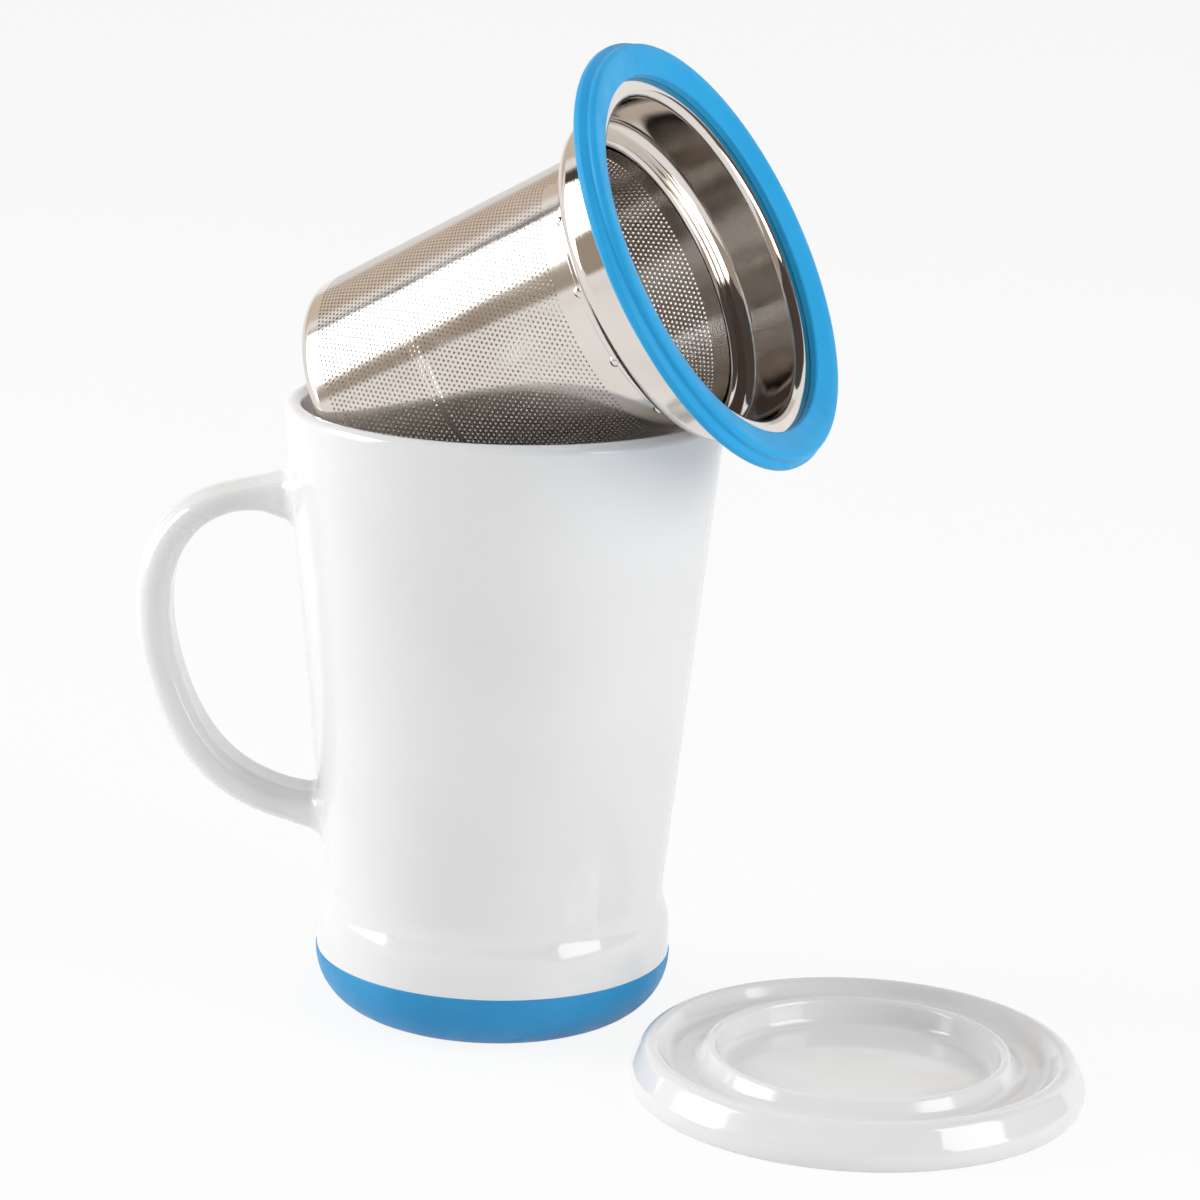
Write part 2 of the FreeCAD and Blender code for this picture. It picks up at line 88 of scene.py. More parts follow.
WAIST_BEND = 12.5
BULGE_RADIUS = BOOT_RADIUS - 0.2
BULGE_CORNER = 19.8
BULGE_BEND = 16.0
FLOOR_TOP = 8.0
FLOOR_BEND = 9.0
WALL_SLOPE = (RIM_RADIUS - WAIST_RADIUS) / (MUG_HEIGHT - LIP - WAIST_HEIGHT)

# The lid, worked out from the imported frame.
LID_RADIUS = (lid_high.x - lid_low.x) / 2
LID_HEIGHT = lid_high.z
LID_PLACE = Matrix.Translation(Vector(((lid_low.x + lid_high.x) / 2, (lid_low.y + lid_high.y) / 2, 0)))

# The infuser. Heights along its own axis are counted from the ring's seat on the mug.
PLUG_CLEARANCE = 0.45
PLUG_RADIUS = MOUTH_RADIUS - PLUG_CLEARANCE
COLLAR_SHEET = 0.6
COLLAR_RADIUS = PLUG_RADIUS - 6.4
COLLAR_DEPTH = 11.1
SHOULDER_BEND = 2.6
NECK_RADIUS = COLLAR_RADIUS - 5.0
NECK_BEND = 0.9
NECK_END = -13.8
NECK_END_BENDS = 0.15, 0.2
FLANGE_RADIUS = MOUTH_RADIUS + PLUG_CLEARANCE
FLANGE_HEIGHT = 0.6
FLANGE_TOP = FLANGE_HEIGHT + COLLAR_SHEET
FLANGE_BEND = 1.3
FLANGE_EDGE_BEND = 0.1
RING_RADIUS = RIM_RADIUS - 0.5
RING_MOUTH = COLLAR_RADIUS + 3.5
RING_HEIGHT = 4.3
RING_BEND = 1.0
RING_GRIP_BEND = 0.2
RING_MOUTH_BEND = 0.6
DISH_DEPTH = 1.5
DISH_EDGE = 2.4
DISH_BEND = 6.0
GROOVE_HEIGHT = 2.7
GROOVE_DEPTH = 0.35
GROOVE_BEND = 0.7
SKIRT_RADIUS = RIM_RADIUS + 0.25
SKIRT_HEIGHT = 1.6
SKIRT_BENDS = 0.8, 0.5
PLUG_LENGTH = 2.2
PLUG_WALL = 2.6
PLUG_BENDS = 0.5, 0.8, 0.3
SLEEVE_RADIUS = NECK_RADIUS - 0.05
BASKET_RADIUS = SLEEVE_RADIUS - 1.45
BASKET_DEPTH = 78.9
BASKET_BEND = 3.3
MESH_SHEET = 0.45
SLEEVE_LAP = 1.6
INFUSER_BEARING = math.radians(-22.76)
INFUSER_TILT = math.radians(28.079)


def infuser_place():
    """The infuser's pose: its open end points along the bearing and up by the tilt."""
    turn = Matrix.Rotation(INFUSER_BEARING, 4, "Z") @ Matrix.Rotation(math.pi / 2 - INFUSER_TILT, 4, "Y")
    across = [turn.col[index].xyz for index in range(3)]
    ring = np.array([vertex.co[:] for vertex in frame["nodes"]["seal_ring"].data.vertices]) / MM
    middle = Vector()
    for index, direction in enumerate(across):
        reach = ring @ np.array(direction)
        low, high = float(reach.min()), float(reach.max())
        middle += direction * ((low + high) / 2 if index < 2 else low + PLUG_LENGTH)
    return Matrix.Translation(middle) @ turn


INFUSER_PLACE = infuser_place()


# Outlines and meshes.

def rounded(corners, closed=False):
    """Points and outward normals along corners (across, up, bend), solid on the left of the way.

    Where two bends together need more than the side between them, both are made smaller.
    """
    spots, bends = [Vector(corner[:2]) for corner in corners], [corner[2] for corner in corners]
    count = len(corners)
    sides = [spots[(index + 1) % count] - spots[index] for index in range(count)]
    turns = [-sides[index - 1].angle_signed(sides[index], 0.0) for index in range(count)]
    if not closed:
        turns[0] = turns[-1] = 0.0
    reaches = [abs(bend * math.tan(turn / 2)) for bend, turn in zip(bends, turns)]
    room = []
    for index, side in enumerate(sides):
        needed = reaches[index] + reaches[(index + 1) % count]
        open_side = not closed and index == count - 1
        room.append(1.0 if open_side or needed < 1e-9 else min(1.0, 0.999 * side.length / needed))
    points, normals = [], []
    for index, (corner, turn) in enumerate(zip(spots, turns)):
        if not closed and index in (0, count - 1):
            way = sides[0 if index == 0 else index - 1].normalized()
            points.append(corner)
            normals.append(Vector((way.y, -way.x)))
            continue
        share = min(room[index - 1], room[index])
        bend, reach = bends[index] * share, reaches[index] * share
        way_in = sides[index - 1].normalized()
        start_normal = Vector((way_in.y, -way_in.x))
        centre = corner - way_in * reach - start_normal * math.copysign(bend, turn)
        steps = max(2, math.ceil(abs(turn) / ARC_STEP))
        for step in range(steps + 1):
            share = turn * step / steps
            normal = Vector((start_normal.x * math.cos(share) - start_normal.y * math.sin(share),
                             start_normal.x * math.sin(share) + start_normal.y * math.cos(share)))
            points.append(centre + normal * math.copysign(bend, turn))
            normals.append(normal)
    return points, normals


def mesh_piece(name, vertices, faces, normals, body, material, replaced=(), place=None):
    """A smooth piece in place on its body. Vertices are in millimetres, in the frame that place gives."""
    vertices = np.asarray(vertices, float)
    normals = None if normals is None else np.asarray(normals, float)
    if place is not None:
        turn = np.array(place.to_3x3())
        vertices = vertices @ turn.T + np.array(place.translation)
        normals = normals @ turn.T
    mesh = bpy.data.meshes.new(name)
    mesh.from_pydata((vertices * MM).tolist(), [], faces)
    mesh.validate()
    mesh.update()
    mesh.shade_smooth()
    if normals is not None:
        mesh.normals_split_custom_set_from_vertices(normals.tolist())
    mesh.materials.append(material)
    piece = bpy.data.objects.new(name, mesh)
    bpy.context.scene.collection.objects.link(piece)
    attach(piece, body)
    if replaced:
        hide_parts(*replaced)
    return piece


def turned(corners, closed=False, segments=SEGMENTS):
    """Vertices, faces and normals of an outline turned about Z. Open outlines end on the axis."""
    points, slopes = rounded(corners, closed)
    angles = np.linspace(0, 2 * math.pi, segments, endpoint=False)
    vertices, normals, rows = [], [], []
    for point, slope in zip(points, slopes):
        on_axis = point.x < 1e-6
        around = angles[:1] if on_axis else angles
        rows.append((len(vertices), on_axis))
        for angle in around:
            cosine, sine = math.cos(angle), math.sin(angle)
            vertices.append((point.x * cosine, point.x * sine, point.y))
            normals.append((0, 0, math.copysign(1, slope.y)) if on_axis
                           else (slope.x * cosine, slope.x * sine, slope.y))
    faces = []
    pairs = list(zip(rows, rows[1:] + rows[:1])) if closed else list(zip(rows, rows[1:]))
    for (here, here_pole), (there, there_pole) in pairs:
        for step in range(segments):
            after = (step + 1) % segments
            if here_pole:
                faces.append((here, there + after, there + step))
            elif there_pole:
                faces.append((here + step, here + after, there))
            else:
                faces.append((here + step, here + after, there + after, there + step))
    return vertices, faces, normals


# Materials.

class Nodes:
    """A new material with its shader, and short ways to add and join nodes."""

    def __init__(self, name, **sockets):
        self.material = bpy.data.materials.new(name)
        self.material.use_nodes = True
        self.tree = self.material.node_tree
        self.shader = self.tree.nodes["Principled BSDF"]
        for socket, value in sockets.items():
            self.shader.inputs[socket.replace("_", " ")].default_value = value

    def add(self, kind, inputs=None, **settings):
        """A new node. Its inputs are values, or other nodes' outputs to join."""
        node = self.tree.nodes.new(f"ShaderNode{kind}")
        for setting, value in settings.items():
            setattr(node, setting, value)
        for socket, value in (inputs or {}).items():
            if isinstance(value, bpy.types.NodeSocket):
                self.tree.links.new(value, node.inputs[socket])
            else:
                node.inputs[socket].default_value = value
        return node

    def math(self, operation, first, second):
        """The outcome of one sum."""
        return self.add("Math", {0: first, 1: second}, operation=operation).outputs[0]

    def noise(self, density, detail=4.0, roughness=0.5):
        """Noise with about density features on a millimetre."""
        place = self.add("TexCoord").outputs["Object"]
        place = self.add("Mapping", {"Vector": place, "Scale": (density / MM,) * 3}).outputs[0]
        inputs = {"Vector": place, "Scale": 1.0, "Detail": detail, "Roughness": roughness}
        return self.add("TexNoise", inputs).outputs["Fac"]

    def span(self, value, low, high, from_low=0.0, from_high=1.0):
        """A value spread from one range over another, and held within it."""
        inputs = {"Value": value, "From Min": from_low, "From Max": from_high,
                  "To Min": low, "To Max": high}
        return self.add("MapRange", inputs).outputs[0]

    def blend(self, share, first, second):
        """A colour that goes from the first to the second with the share."""
        node = self.add("Mix", data_type="RGBA")
        for socket, value in ((0, share), (6, first), (7, second)):
            if isinstance(value, bpy.types.NodeSocket):
                self.tree.links.new(value, node.inputs[socket])
            else:
                node.inputs[socket].default_value = value
        return node.outputs[2]

    def bump(self, height, depth, below=None):
        """A bump whose height of 1 is depth millimetres."""
        inputs = {"Height": height, "Distance": depth * MM, "Strength": 1.0}
        if below is not None:
            inputs["Normal"] = below
        return self.add("Bump", inputs).outputs[0]

    def feed(self, **values):
        """The finished material, with these values on its shader."""
        for socket, value in values.items():
            self.tree.links.new(value, self.shader.inputs[socket.replace("_", " ")])
        return self.material


def grey(value, warmth=0.0):
    """A grey, with more red and less blue by the warmth."""
    return (value * (1 + warmth), value, value * (1 - warmth), 1.0)


def white_glaze():
    """Glossy white glaze: faint pooling in its colour, an uneven skin and a few pinholes."""
    nodes = Nodes("white_glaze", IOR=1.5, Coat_Weight=0.35, Coat_Roughness=0.07)
    broad = nodes.noise(0.03, detail=3.0)
    colour = nodes.blend(nodes.span(broad, 0.0, 1.0, 0.35, 0.65), grey(0.845, 0.004), grey(0.875, 0.002))
    specks = nodes.span(nodes.noise(0.9, detail=2.0), 0.0, 1.0, 0.79, 0.83)
    colour = nodes.blend(nodes.math("MULTIPLY", specks, 0.25), colour, grey(0.55, 0.08))
    roughness = nodes.span(nodes.noise(0.12), 0.07, 0.15, 0.3, 0.7)
    skin = nodes.bump(nodes.noise(0.055, detail=2.0), 0.22)
    skin = nodes.bump(nodes.noise(0.5, detail=3.0), 0.006, below=skin)
    return nodes.feed(Base_Color=colour, Roughness=roughness, Normal=skin)


def blue_silicone(name, deep, pale):
    """Soft sky-blue silicone rubber: matt, with a fine moulded grain and a little dust."""
    nodes = Nodes(name, IOR=1.41, Specular_IOR_Level=0.35, Subsurface_Weight=0.08, Subsurface_Scale=0.0015)
    nodes.shader.inputs["Subsurface Radius"].default_value = (0.3, 0.7, 1.0)
    broad = nodes.noise(0.06, detail=3.0)
    colour = nodes.blend(nodes.span(broad, 0.0, 1.0, 0.3, 0.7), deep, pale)
    dust = nodes.span(nodes.noise(2.2, detail=5.0, roughness=0.7), 0.0, 0.22, 0.62, 0.8)
    colour = nodes.blend(dust, colour, (0.25, 0.48, 0.70, 1))
    roughness = nodes.span(nodes.noise(0.3), 0.38, 0.52, 0.3, 0.7)
    grain = nodes.bump(nodes.noise(3.5, detail=3.0), 0.012)
    grain = nodes.bump(nodes.noise(0.07, detail=1.0), 0.12, below=grain)
    return nodes.feed(Base_Color=colour, Roughness=roughness, Normal=grain)


STEEL_DARK = (0.70, 0.645, 0.59, 1)
STEEL_PALE = (0.77, 0.725, 0.68, 1)
FORMING_LINES = 6.0


def steel(name, roughness, wear, waviness):
    """Stainless steel: warm grey, fine lines round the axis from its forming, and faint smears."""
    nodes = Nodes(name, Metallic=1.0)
    frame_of_axis = {"Vector": nodes.add("TexCoord").outputs["Object"],
                     "Location": tuple(INFUSER_PLACE.translation * MM),
                     "Rotation": tuple(INFUSER_PLACE.to_euler())}
    place = nodes.add("Mapping", frame_of_axis, vector_type="TEXTURE").outputs[0]
    apart = nodes.add("SeparateXYZ", {0: place})
    across = nodes.add("VectorMath", {0: place, 1: (1, 1, 0)}, operation="MULTIPLY").outputs[0]
    radius = nodes.add("VectorMath", {0: across}, operation="LENGTH").outputs["Value"]
    along = nodes.math("ADD", apart.outputs["Z"], radius)
    lines = nodes.add("TexNoise", {"W": nodes.math("MULTIPLY", along, FORMING_LINES / MM), "Detail": 3.0},
                      noise_dimensions="1D").outputs["Fac"]
    smears = nodes.noise(0.06, detail=4.0)
    low, high = roughness
    rough = nodes.math("ADD", nodes.span(smears, low, high, 0.3, 0.7), nodes.span(lines, -wear, wear))
    colour = nodes.blend(nodes.span(smears, 0.0, 1.0, 0.3, 0.7), STEEL_DARK, STEEL_PALE)
    skin = nodes.bump(lines, 0.0016)
    skin = nodes.bump(nodes.noise(0.08, detail=1.5), waviness, below=skin)
    return nodes.feed(Base_Color=colour, Roughness=rough, Normal=skin)


GLAZE = white_glaze()
BOOT_BLUE = blue_silicone("boot_silicone", (0.030, 0.290, 0.590, 1), (0.040, 0.325, 0.640, 1))
RING_BLUE = blue_silicone("ring_silicone", (0.018, 0.385, 0.780, 1), (0.026, 0.425, 0.830, 1))
POLISHED = steel("polished_steel", (0.04, 0.09), 0.02, 0.07)
PUNCHED = steel("perforated_steel", (0.09, 0.14), 0.02, 0.04)


# The mug.

def wall_radius(height):
    """Outside of the mug's taper at a height above the table."""
    return RIM_RADIUS - WALL_SLOPE * (MUG_HEIGHT - LIP - height)


def mug_cup():
    """The cup: foot, crease and taper outside, a rounded lip, and a dished floor inside."""
    vertices, faces, normals = turned([
        (0, BOOT_WALL, 0),
        (SEAT_RADIUS, BOOT_WALL, SEAT_BEND),
        (SEAT_RADIUS, STEP_HEIGHT, SEAT_EDGE_BEND),
        (BULGE_RADIUS, STEP_HEIGHT, STEP_BEND),
        (BULGE_RADIUS, BULGE_CORNER, BULGE_BEND),
        (WAIST_RADIUS, WAIST_HEIGHT, WAIST_BEND),
        (RIM_RADIUS + WALL_SLOPE * LIP, MUG_HEIGHT, LIP_BEND),
        (MOUTH_RADIUS + WALL_SLOPE * LIP, MUG_HEIGHT, LIP_BEND),
        (wall_radius(FLOOR_TOP) - WALL, FLOOR_TOP, FLOOR_BEND),
        (0, FLOOR_TOP, 0),
    ])
    mesh_piece("mug_cup", vertices, faces, normals, "mug", GLAZE, ["mug_body"])


def mug_boot():
    """The silicone boot round the foot."""
    vertices, faces, normals = turned([
        (0, 0, 0),
        (BOOT_RADIUS, 0, BOOT_BEND),
        (BOOT_RADIUS, BOOT_HEIGHT, BOOT_EDGE_BEND),
        (SEAT_RADIUS, BOOT_HEIGHT, SEAT_EDGE_BEND),
        (SEAT_RADIUS, BOOT_WALL, SEAT_BEND),
        (0, BOOT_WALL, 0),
    ])
    mesh_piece("mug_boot", vertices, faces, normals, "mug", BOOT_BLUE, ["base_boot"])


# The handle. Its line holds the share of the rise from the lower root to the upper one and the share
# of the reach out from the wall, and its sections the share along the line, the depth and the width.
HANDLE_LOW, HANDLE_TOP, HANDLE_REACH = 40.2, 107.2, 30.5
HANDLE_LINE = [
    (0.989, 0.360), (0.929, 0.674), (0.808, 0.895), (0.661, 0.989), (0.511, 0.991),
    (0.366, 0.930), (0.231, 0.812), (0.119, 0.616), (0.046, 0.342),
]
HANDLE_SECTIONS = [
    (0.0, 10.4, 16.0), (0.03, 9.42, 15.5), (0.075, 6.48, 13.9), (0.12, 5.5, 13.4), (0.165, 5.8, 13.4),
    (0.215, 6.6, 13.4), (0.265, 7.3, 13.4), (0.32, 7.5, 13.4), (0.78, 7.5, 13.4), (0.92, 7.57, 13.5),
    (0.97, 8.15, 14.7), (1.0, 8.8, 16.0),
]
HANDLE_CROWN = 0.9
HANDLE_BEND = 3.1
HANDLE_FILLET = 2.4
HANDLE_AROUND = 72
HANDLE_ALONG = 140
HANDLE_DENSE = 900
HANDLE_SOFTENING = 41
DOME_POINTS = 9
BEND_POINTS = 10


def handle_line():
    """Dense points down the handle's middle line, from inside the wall at the top to the bottom.

    Gives each point's share of the way too.
    """
    stations = [(1.0, -LIP / HANDLE_REACH)] + HANDLE_LINE + [(0.0, -LIP / HANDLE_REACH)]
    span = HANDLE_TOP - HANDLE_LOW
    route = []
    for up, out in stations:
        height = HANDLE_LOW + span * up
        route.append((-wall_radius(height) - HANDLE_REACH * out, height))
    route = np.array(route)
    knots = np.concatenate(([0], np.cumsum(np.linalg.norm(np.diff(route, axis=0), axis=1))))
    knots /= knots[-1]
    shares = np.linspace(0, 1, HANDLE_DENSE)
    return shares, np.stack([natural_spline(knots, route[:, axis], shares) for axis in (0, 1)], 1)


def natural_spline(knots, values, wanted):
    """A natural cubic spline through values at knots, read at the wanted places."""
    count, step = len(knots), np.diff(knots)
    matrix, right = np.eye(count), np.zeros(count)
    for index in range(1, count - 1):
        before, after = step[index - 1], step[index]
        matrix[index, index - 1:index + 2] = before, 2 * (before + after), after
        right[index] = 6 * ((values[index + 1] - values[index]) / after
                            - (values[index] - values[index - 1]) / before)
    bends = np.linalg.solve(matrix, right)
    spot = np.clip(np.searchsorted(knots, wanted) - 1, 0, count - 2)
    width = step[spot]
    ahead, behind = (knots[spot + 1] - wanted) / width, (wanted - knots[spot]) / width
    bent = (ahead ** 3 - ahead) * bends[spot] + (behind ** 3 - behind) * bends[spot + 1]
    return ahead * values[spot] + behind * values[spot + 1] + bent * width ** 2 / 6


def handle_shape(depth, width):
    """A rounded oblong with a domed outer face: its points' outward and sideways places."""
    bend = min(HANDLE_BEND, (depth - HANDLE_CROWN) / 2.05)
    flat = width / 2 - bend
    dome = (flat ** 2 + HANDLE_CROWN ** 2) / (2 * HANDLE_CROWN)
    back, shoulder = -depth / 2, depth / 2 - HANDLE_CROWN
    swing = math.asin(flat / dome)
    outline = []
    for share in np.linspace(-1, 1, DOME_POINTS):
        angle = share * swing
        outline.append((shoulder + HANDLE_CROWN - dome * (1 - math.cos(angle)), dome * math.sin(angle)))
    arc = np.radians(np.linspace(0, 90, BEND_POINTS))
    far = [(shoulder - bend + bend * math.cos(a), flat + bend * math.sin(a)) for a in arc]
    far_back = [(back + bend - bend * math.sin(a), flat + bend * math.cos(a)) for a in arc]
    near = [(across, -side) for across, side in reversed(far)]
    near_back = [(across, -side) for across, side in reversed(far_back)]
    return outline + far[1:] + far_back + near_back + near[:-1]


def even_loop(points, count):
    """A closed loop of points, read again at even steps along it."""
    loop = np.array(points + points[:1])
    length = np.concatenate(([0], np.cumsum(np.linalg.norm(np.diff(loop, axis=0), axis=1))))
    wanted = np.linspace(0, length[-1], count, endpoint=False)
    return np.stack([np.interp(wanted, length, loop[:, axis]) for axis in (0, 1)], 1)


def softened(values):
    """Values along the handle's line, each blended with its neighbours."""
    weights = np.hanning(HANDLE_SOFTENING)
    weights = weights / weights.sum()
    return np.convolve(np.pad(values, HANDLE_SOFTENING // 2, "edge"), weights, "valid")


def handle_rings():
    """The handle's sections in place along its line, and their outward normals."""
    shares, line = handle_line()
    ahead = np.gradient(line, axis=0)
    ahead /= np.linalg.norm(ahead, axis=1)[:, None]
    outward = np.stack([ahead[:, 1], -ahead[:, 0]], 1)
    table = np.array(HANDLE_SECTIONS)
    depths = softened(np.interp(shares, table[:, 0], table[:, 1]))
    widths = softened(np.interp(shares, table[:, 0], table[:, 2]))
    rings = []
    for place, out, depth, width in zip(line, outward, depths, widths):
        loop = even_loop(handle_shape(depth, width), HANDLE_AROUND)
        flat = place + np.outer(loop[:, 0], out)
        rings.append(np.stack([flat[:, 0], loop[:, 1], flat[:, 1]], 1))
    rings = np.array(rings)
    around = np.roll(rings, -1, axis=1) - np.roll(rings, 1, axis=1)
    normals = np.cross(np.gradient(rings, axis=0), around)
    normals /= np.linalg.norm(normals, axis=2)[:, :, None]
    if ((rings - rings.mean(axis=1, keepdims=True)) * normals).sum() < 0:
        normals = -normals
    return shares, rings, normals


def flared(shares, spots, normals):
    """One line of points along the handle, with a fillet at each end where it meets the cup."""
    steep = math.cos(math.atan(WALL_SLOPE))
    reach = (np.hypot(spots[:, 0], spots[:, 1]) - wall_radius(spots[:, 2])) * steep
    end = HANDLE_DENSE // 4
    swing = np.linspace(math.pi / 2, 0, BEND_POINTS)
    rise = HANDLE_FILLET * (1 - np.sin(swing))
    flare = HANDLE_FILLET * (1 - np.cos(swing))
    top = np.interp(rise, reach[:end], shares[:end])
    low = np.interp(rise, reach[::-1][:end], shares[::-1][:end])
    between = top[-1] + (low[-1] - top[-1]) * np.linspace(0, 1, HANDLE_ALONG)[1:-1]
    stations = np.concatenate((top, between, low[::-1]))
    grow = np.concatenate((flare, np.zeros(len(between)), flare[::-1]))
    away = np.concatenate((rise, np.full(len(between), np.nan), rise[::-1]))
    line = np.stack([np.interp(stations, shares, spots[:, axis]) for axis in range(3)], 1)
    tilt = np.stack([np.interp(stations, shares, normals[:, axis]) for axis in range(3)], 1)
    line = line + tilt * grow[:, None]
    near = ~np.isnan(away)
    wanted = wall_radius(line[near, 2]) + away[near] / steep
    line[near, :2] *= (wanted / np.hypot(line[near, 0], line[near, 1]))[:, None]
    return line


def mug_handle():
    """The handle, flared with a small fillet where it meets the cup's taper."""
    shares, rings, normals = handle_rings()
    lines = [flared(shares, rings[:, column], normals[:, column]) for column in range(HANDLE_AROUND)]
    grid = np.array(lines).transpose(1, 0, 2)
    rows, count = grid.shape[:2]
    faces = [(row * count + spot, row * count + (spot + 1) % count,
              (row + 1) * count + (spot + 1) % count, (row + 1) * count + spot)
             for row in range(rows - 1) for spot in range(count)]
    mesh_piece("mug_grip", grid.reshape(-1, 3), faces, None, "mug", GLAZE, ["mug_handle"])


# The infuser.

def collar():
    """The drawn collar: flange under the silicone, wall, shoulder and neck."""
    outside, neck_outside = COLLAR_RADIUS + COLLAR_SHEET, NECK_RADIUS + COLLAR_SHEET
    under = -COLLAR_DEPTH - COLLAR_SHEET
    vertices, faces, normals = turned([
        (FLANGE_RADIUS, FLANGE_HEIGHT, FLANGE_EDGE_BEND),
        (FLANGE_RADIUS, FLANGE_TOP, FLANGE_EDGE_BEND),
        (COLLAR_RADIUS, FLANGE_TOP, FLANGE_BEND + COLLAR_SHEET),
        (COLLAR_RADIUS, -COLLAR_DEPTH, SHOULDER_BEND),
        (NECK_RADIUS, -COLLAR_DEPTH, NECK_BEND + COLLAR_SHEET),
        (NECK_RADIUS, NECK_END, NECK_END_BENDS[0]),
        (neck_outside, NECK_END, NECK_END_BENDS[1]),
        (neck_outside, under, NECK_BEND),
        (outside, under, SHOULDER_BEND + COLLAR_SHEET),
        (outside, FLANGE_HEIGHT, FLANGE_BEND),
    ], closed=True)
    mesh_piece("collar", vertices, faces, normals, "infuser", POLISHED,
               ["infuser_collar"], INFUSER_PLACE)


def ring():
    """The silicone ring: dished front, finger groove, seat and plug."""
    plug_inside = PLUG_RADIUS - PLUG_WALL
    vertices, faces, normals = turned([
        (RING_MOUTH, FLANGE_TOP, RING_GRIP_BEND),
        (FLANGE_RADIUS, FLANGE_TOP, FLANGE_EDGE_BEND),
        (FLANGE_RADIUS, FLANGE_HEIGHT, FLANGE_EDGE_BEND),
        (plug_inside, FLANGE_HEIGHT, RING_GRIP_BEND),
        (plug_inside, -PLUG_LENGTH, PLUG_BENDS[0]),
        (PLUG_RADIUS - PLUG_CLEARANCE, -PLUG_LENGTH, PLUG_BENDS[1]),
        (PLUG_RADIUS, 0, PLUG_BENDS[2]),
        (SKIRT_RADIUS, 0, SKIRT_BENDS[0]),
        (SKIRT_RADIUS, SKIRT_HEIGHT, SKIRT_BENDS[1]),
        (RING_RADIUS - GROOVE_DEPTH, GROOVE_HEIGHT, GROOVE_BEND),
        (RING_RADIUS, RING_HEIGHT, RING_BEND),
        (RING_RADIUS - DISH_EDGE, RING_HEIGHT, DISH_BEND),
        (RING_MOUTH, RING_HEIGHT - DISH_DEPTH, RING_MOUTH_BEND),
    ], closed=True)
    mesh_piece("ring", vertices, faces, normals, "infuser", RING_BLUE,
               ["seal_ring"], INFUSER_PLACE)


# The punched pattern: rows run round the axis, and every other row is set half a pitch over. The top
# rows are punched on one side only, one row has a plain stretch, and the whole pattern leans a little.
# Columns are counted from the basket's lowest line, round its back.
HOLE_RADIUS = 0.26
HOLE_SIDES = 12
HOLE_COLUMNS = 168
HOLE_TOP, HOLE_LOW = -15.5, -73.6
HOLE_ROWS = 64
SHORT_ROWS = 4
SHORT_FROM, SHORT_TO = 2, 99
PLAIN_ROW = 39
PLAIN_FROM, PLAIN_TO = 130, 141
PATTERN_LEAN = 0.8
PATTERN_BEARING = math.radians(200)
ROW_PITCH = (HOLE_TOP - HOLE_LOW) / (HOLE_ROWS - 1)
SLEEVE_PANELS = 4
PANEL_COLUMNS = HOLE_COLUMNS // SLEEVE_PANELS
SLEEVE_TOP = NECK_END + SLEEVE_LAP
SEAM = -BASKET_DEPTH + BASKET_BEND
SLEEVE_LEAN = (SLEEVE_RADIUS - BASKET_RADIUS) / (SLEEVE_TOP - SEAM)


def sleeve_radius(height):
    """Outside of the basket's sleeve at a height along its axis."""
    return BASKET_RADIUS + SLEEVE_LEAN * (height - SEAM)


class Sheet:
    """A flat punched pattern: its corners, its faces and the loops of its holes."""

    def __init__(self):
        self.spots, self.faces, self.holes, self.found = [], [], [], {}

    def spot(self, across, up):
        key = (round(across, 4), round(up, 4))
        if key not in self.found:
            self.found[key] = len(self.spots)
            self.spots.append((across, up))
        return self.found[key]

    def cell(self, across, up, width, pitch, radius):
        """One six-sided cell, with a round hole in it unless the radius is 0.

        The pattern's across unit is width millimetres.
        """
        third = pitch / 3
        rim = [self.spot(across + half, up + rise * third) for half, rise in
               ((-0.5, -1), (0, -2), (0.5, -1), (0.5, 1), (0, 2), (-0.5, 1))]
        if not radius:
            self.faces.append(tuple(rim))
            return
        hole = []
        for side in range(HOLE_SIDES):
            angle = 2 * math.pi * (side + 0.5) / HOLE_SIDES - math.pi
            hole.append(self.spot(across + radius * math.cos(angle) / width,
                                  up + radius * math.sin(angle)))
        per_corner = HOLE_SIDES // 6
        for corner in range(6):
            fan = [hole[(corner * per_corner + step) % HOLE_SIDES] for step in range(per_corner + 1)]
            self.faces.append((rim[corner], rim[(corner + 1) % 6], *reversed(fan[1:])))
            self.faces.append((rim[corner], fan[1], fan[0]))
        self.holes.append(hole)


def thick_sheet(sheet, rolled, edges):
    """Both sides of a punched sheet and the walls of its holes and of its outer edges.

    rolled turns a spot of the pattern into its outer place, its inner place and its outward normal.
    The walls have vertices of their own, so that the sheet's two sides keep their own normals.
    """
    outer, inner, away = (np.array(part) for part in zip(*(rolled(*spot) for spot in sheet.spots)))
    count = len(sheet.spots)
    faces = list(sheet.faces)
    faces += [tuple(corner + count for corner in reversed(face)) for face in sheet.faces]
    vertices, normals = [outer, inner], [away, -away]
    start = 2 * count
    for hole in sheet.holes:
        inward = outer[hole].mean(axis=0) - outer[hole]
        inward /= np.linalg.norm(inward, axis=1)[:, None]
        vertices += [outer[hole], inner[hole]]
        normals += [inward, inward]
        size = len(hole)
        for here in range(size):
            there = (here + 1) % size
            faces.append((start + here, start + there, start + size + there, start + size + here))
        start += 2 * size
    for edge, way in edges:
        vertices += [outer[edge], inner[edge]]
        normals += [np.tile(way, (len(edge), 1))] * 2
        size = len(edge)
        faces += [(start + here, start + size + here, start + size + here + 1, start + here + 1)
                  for here in range(size - 1)]
        start += 2 * size
    return np.concatenate(vertices), faces, np.concatenate(normals)


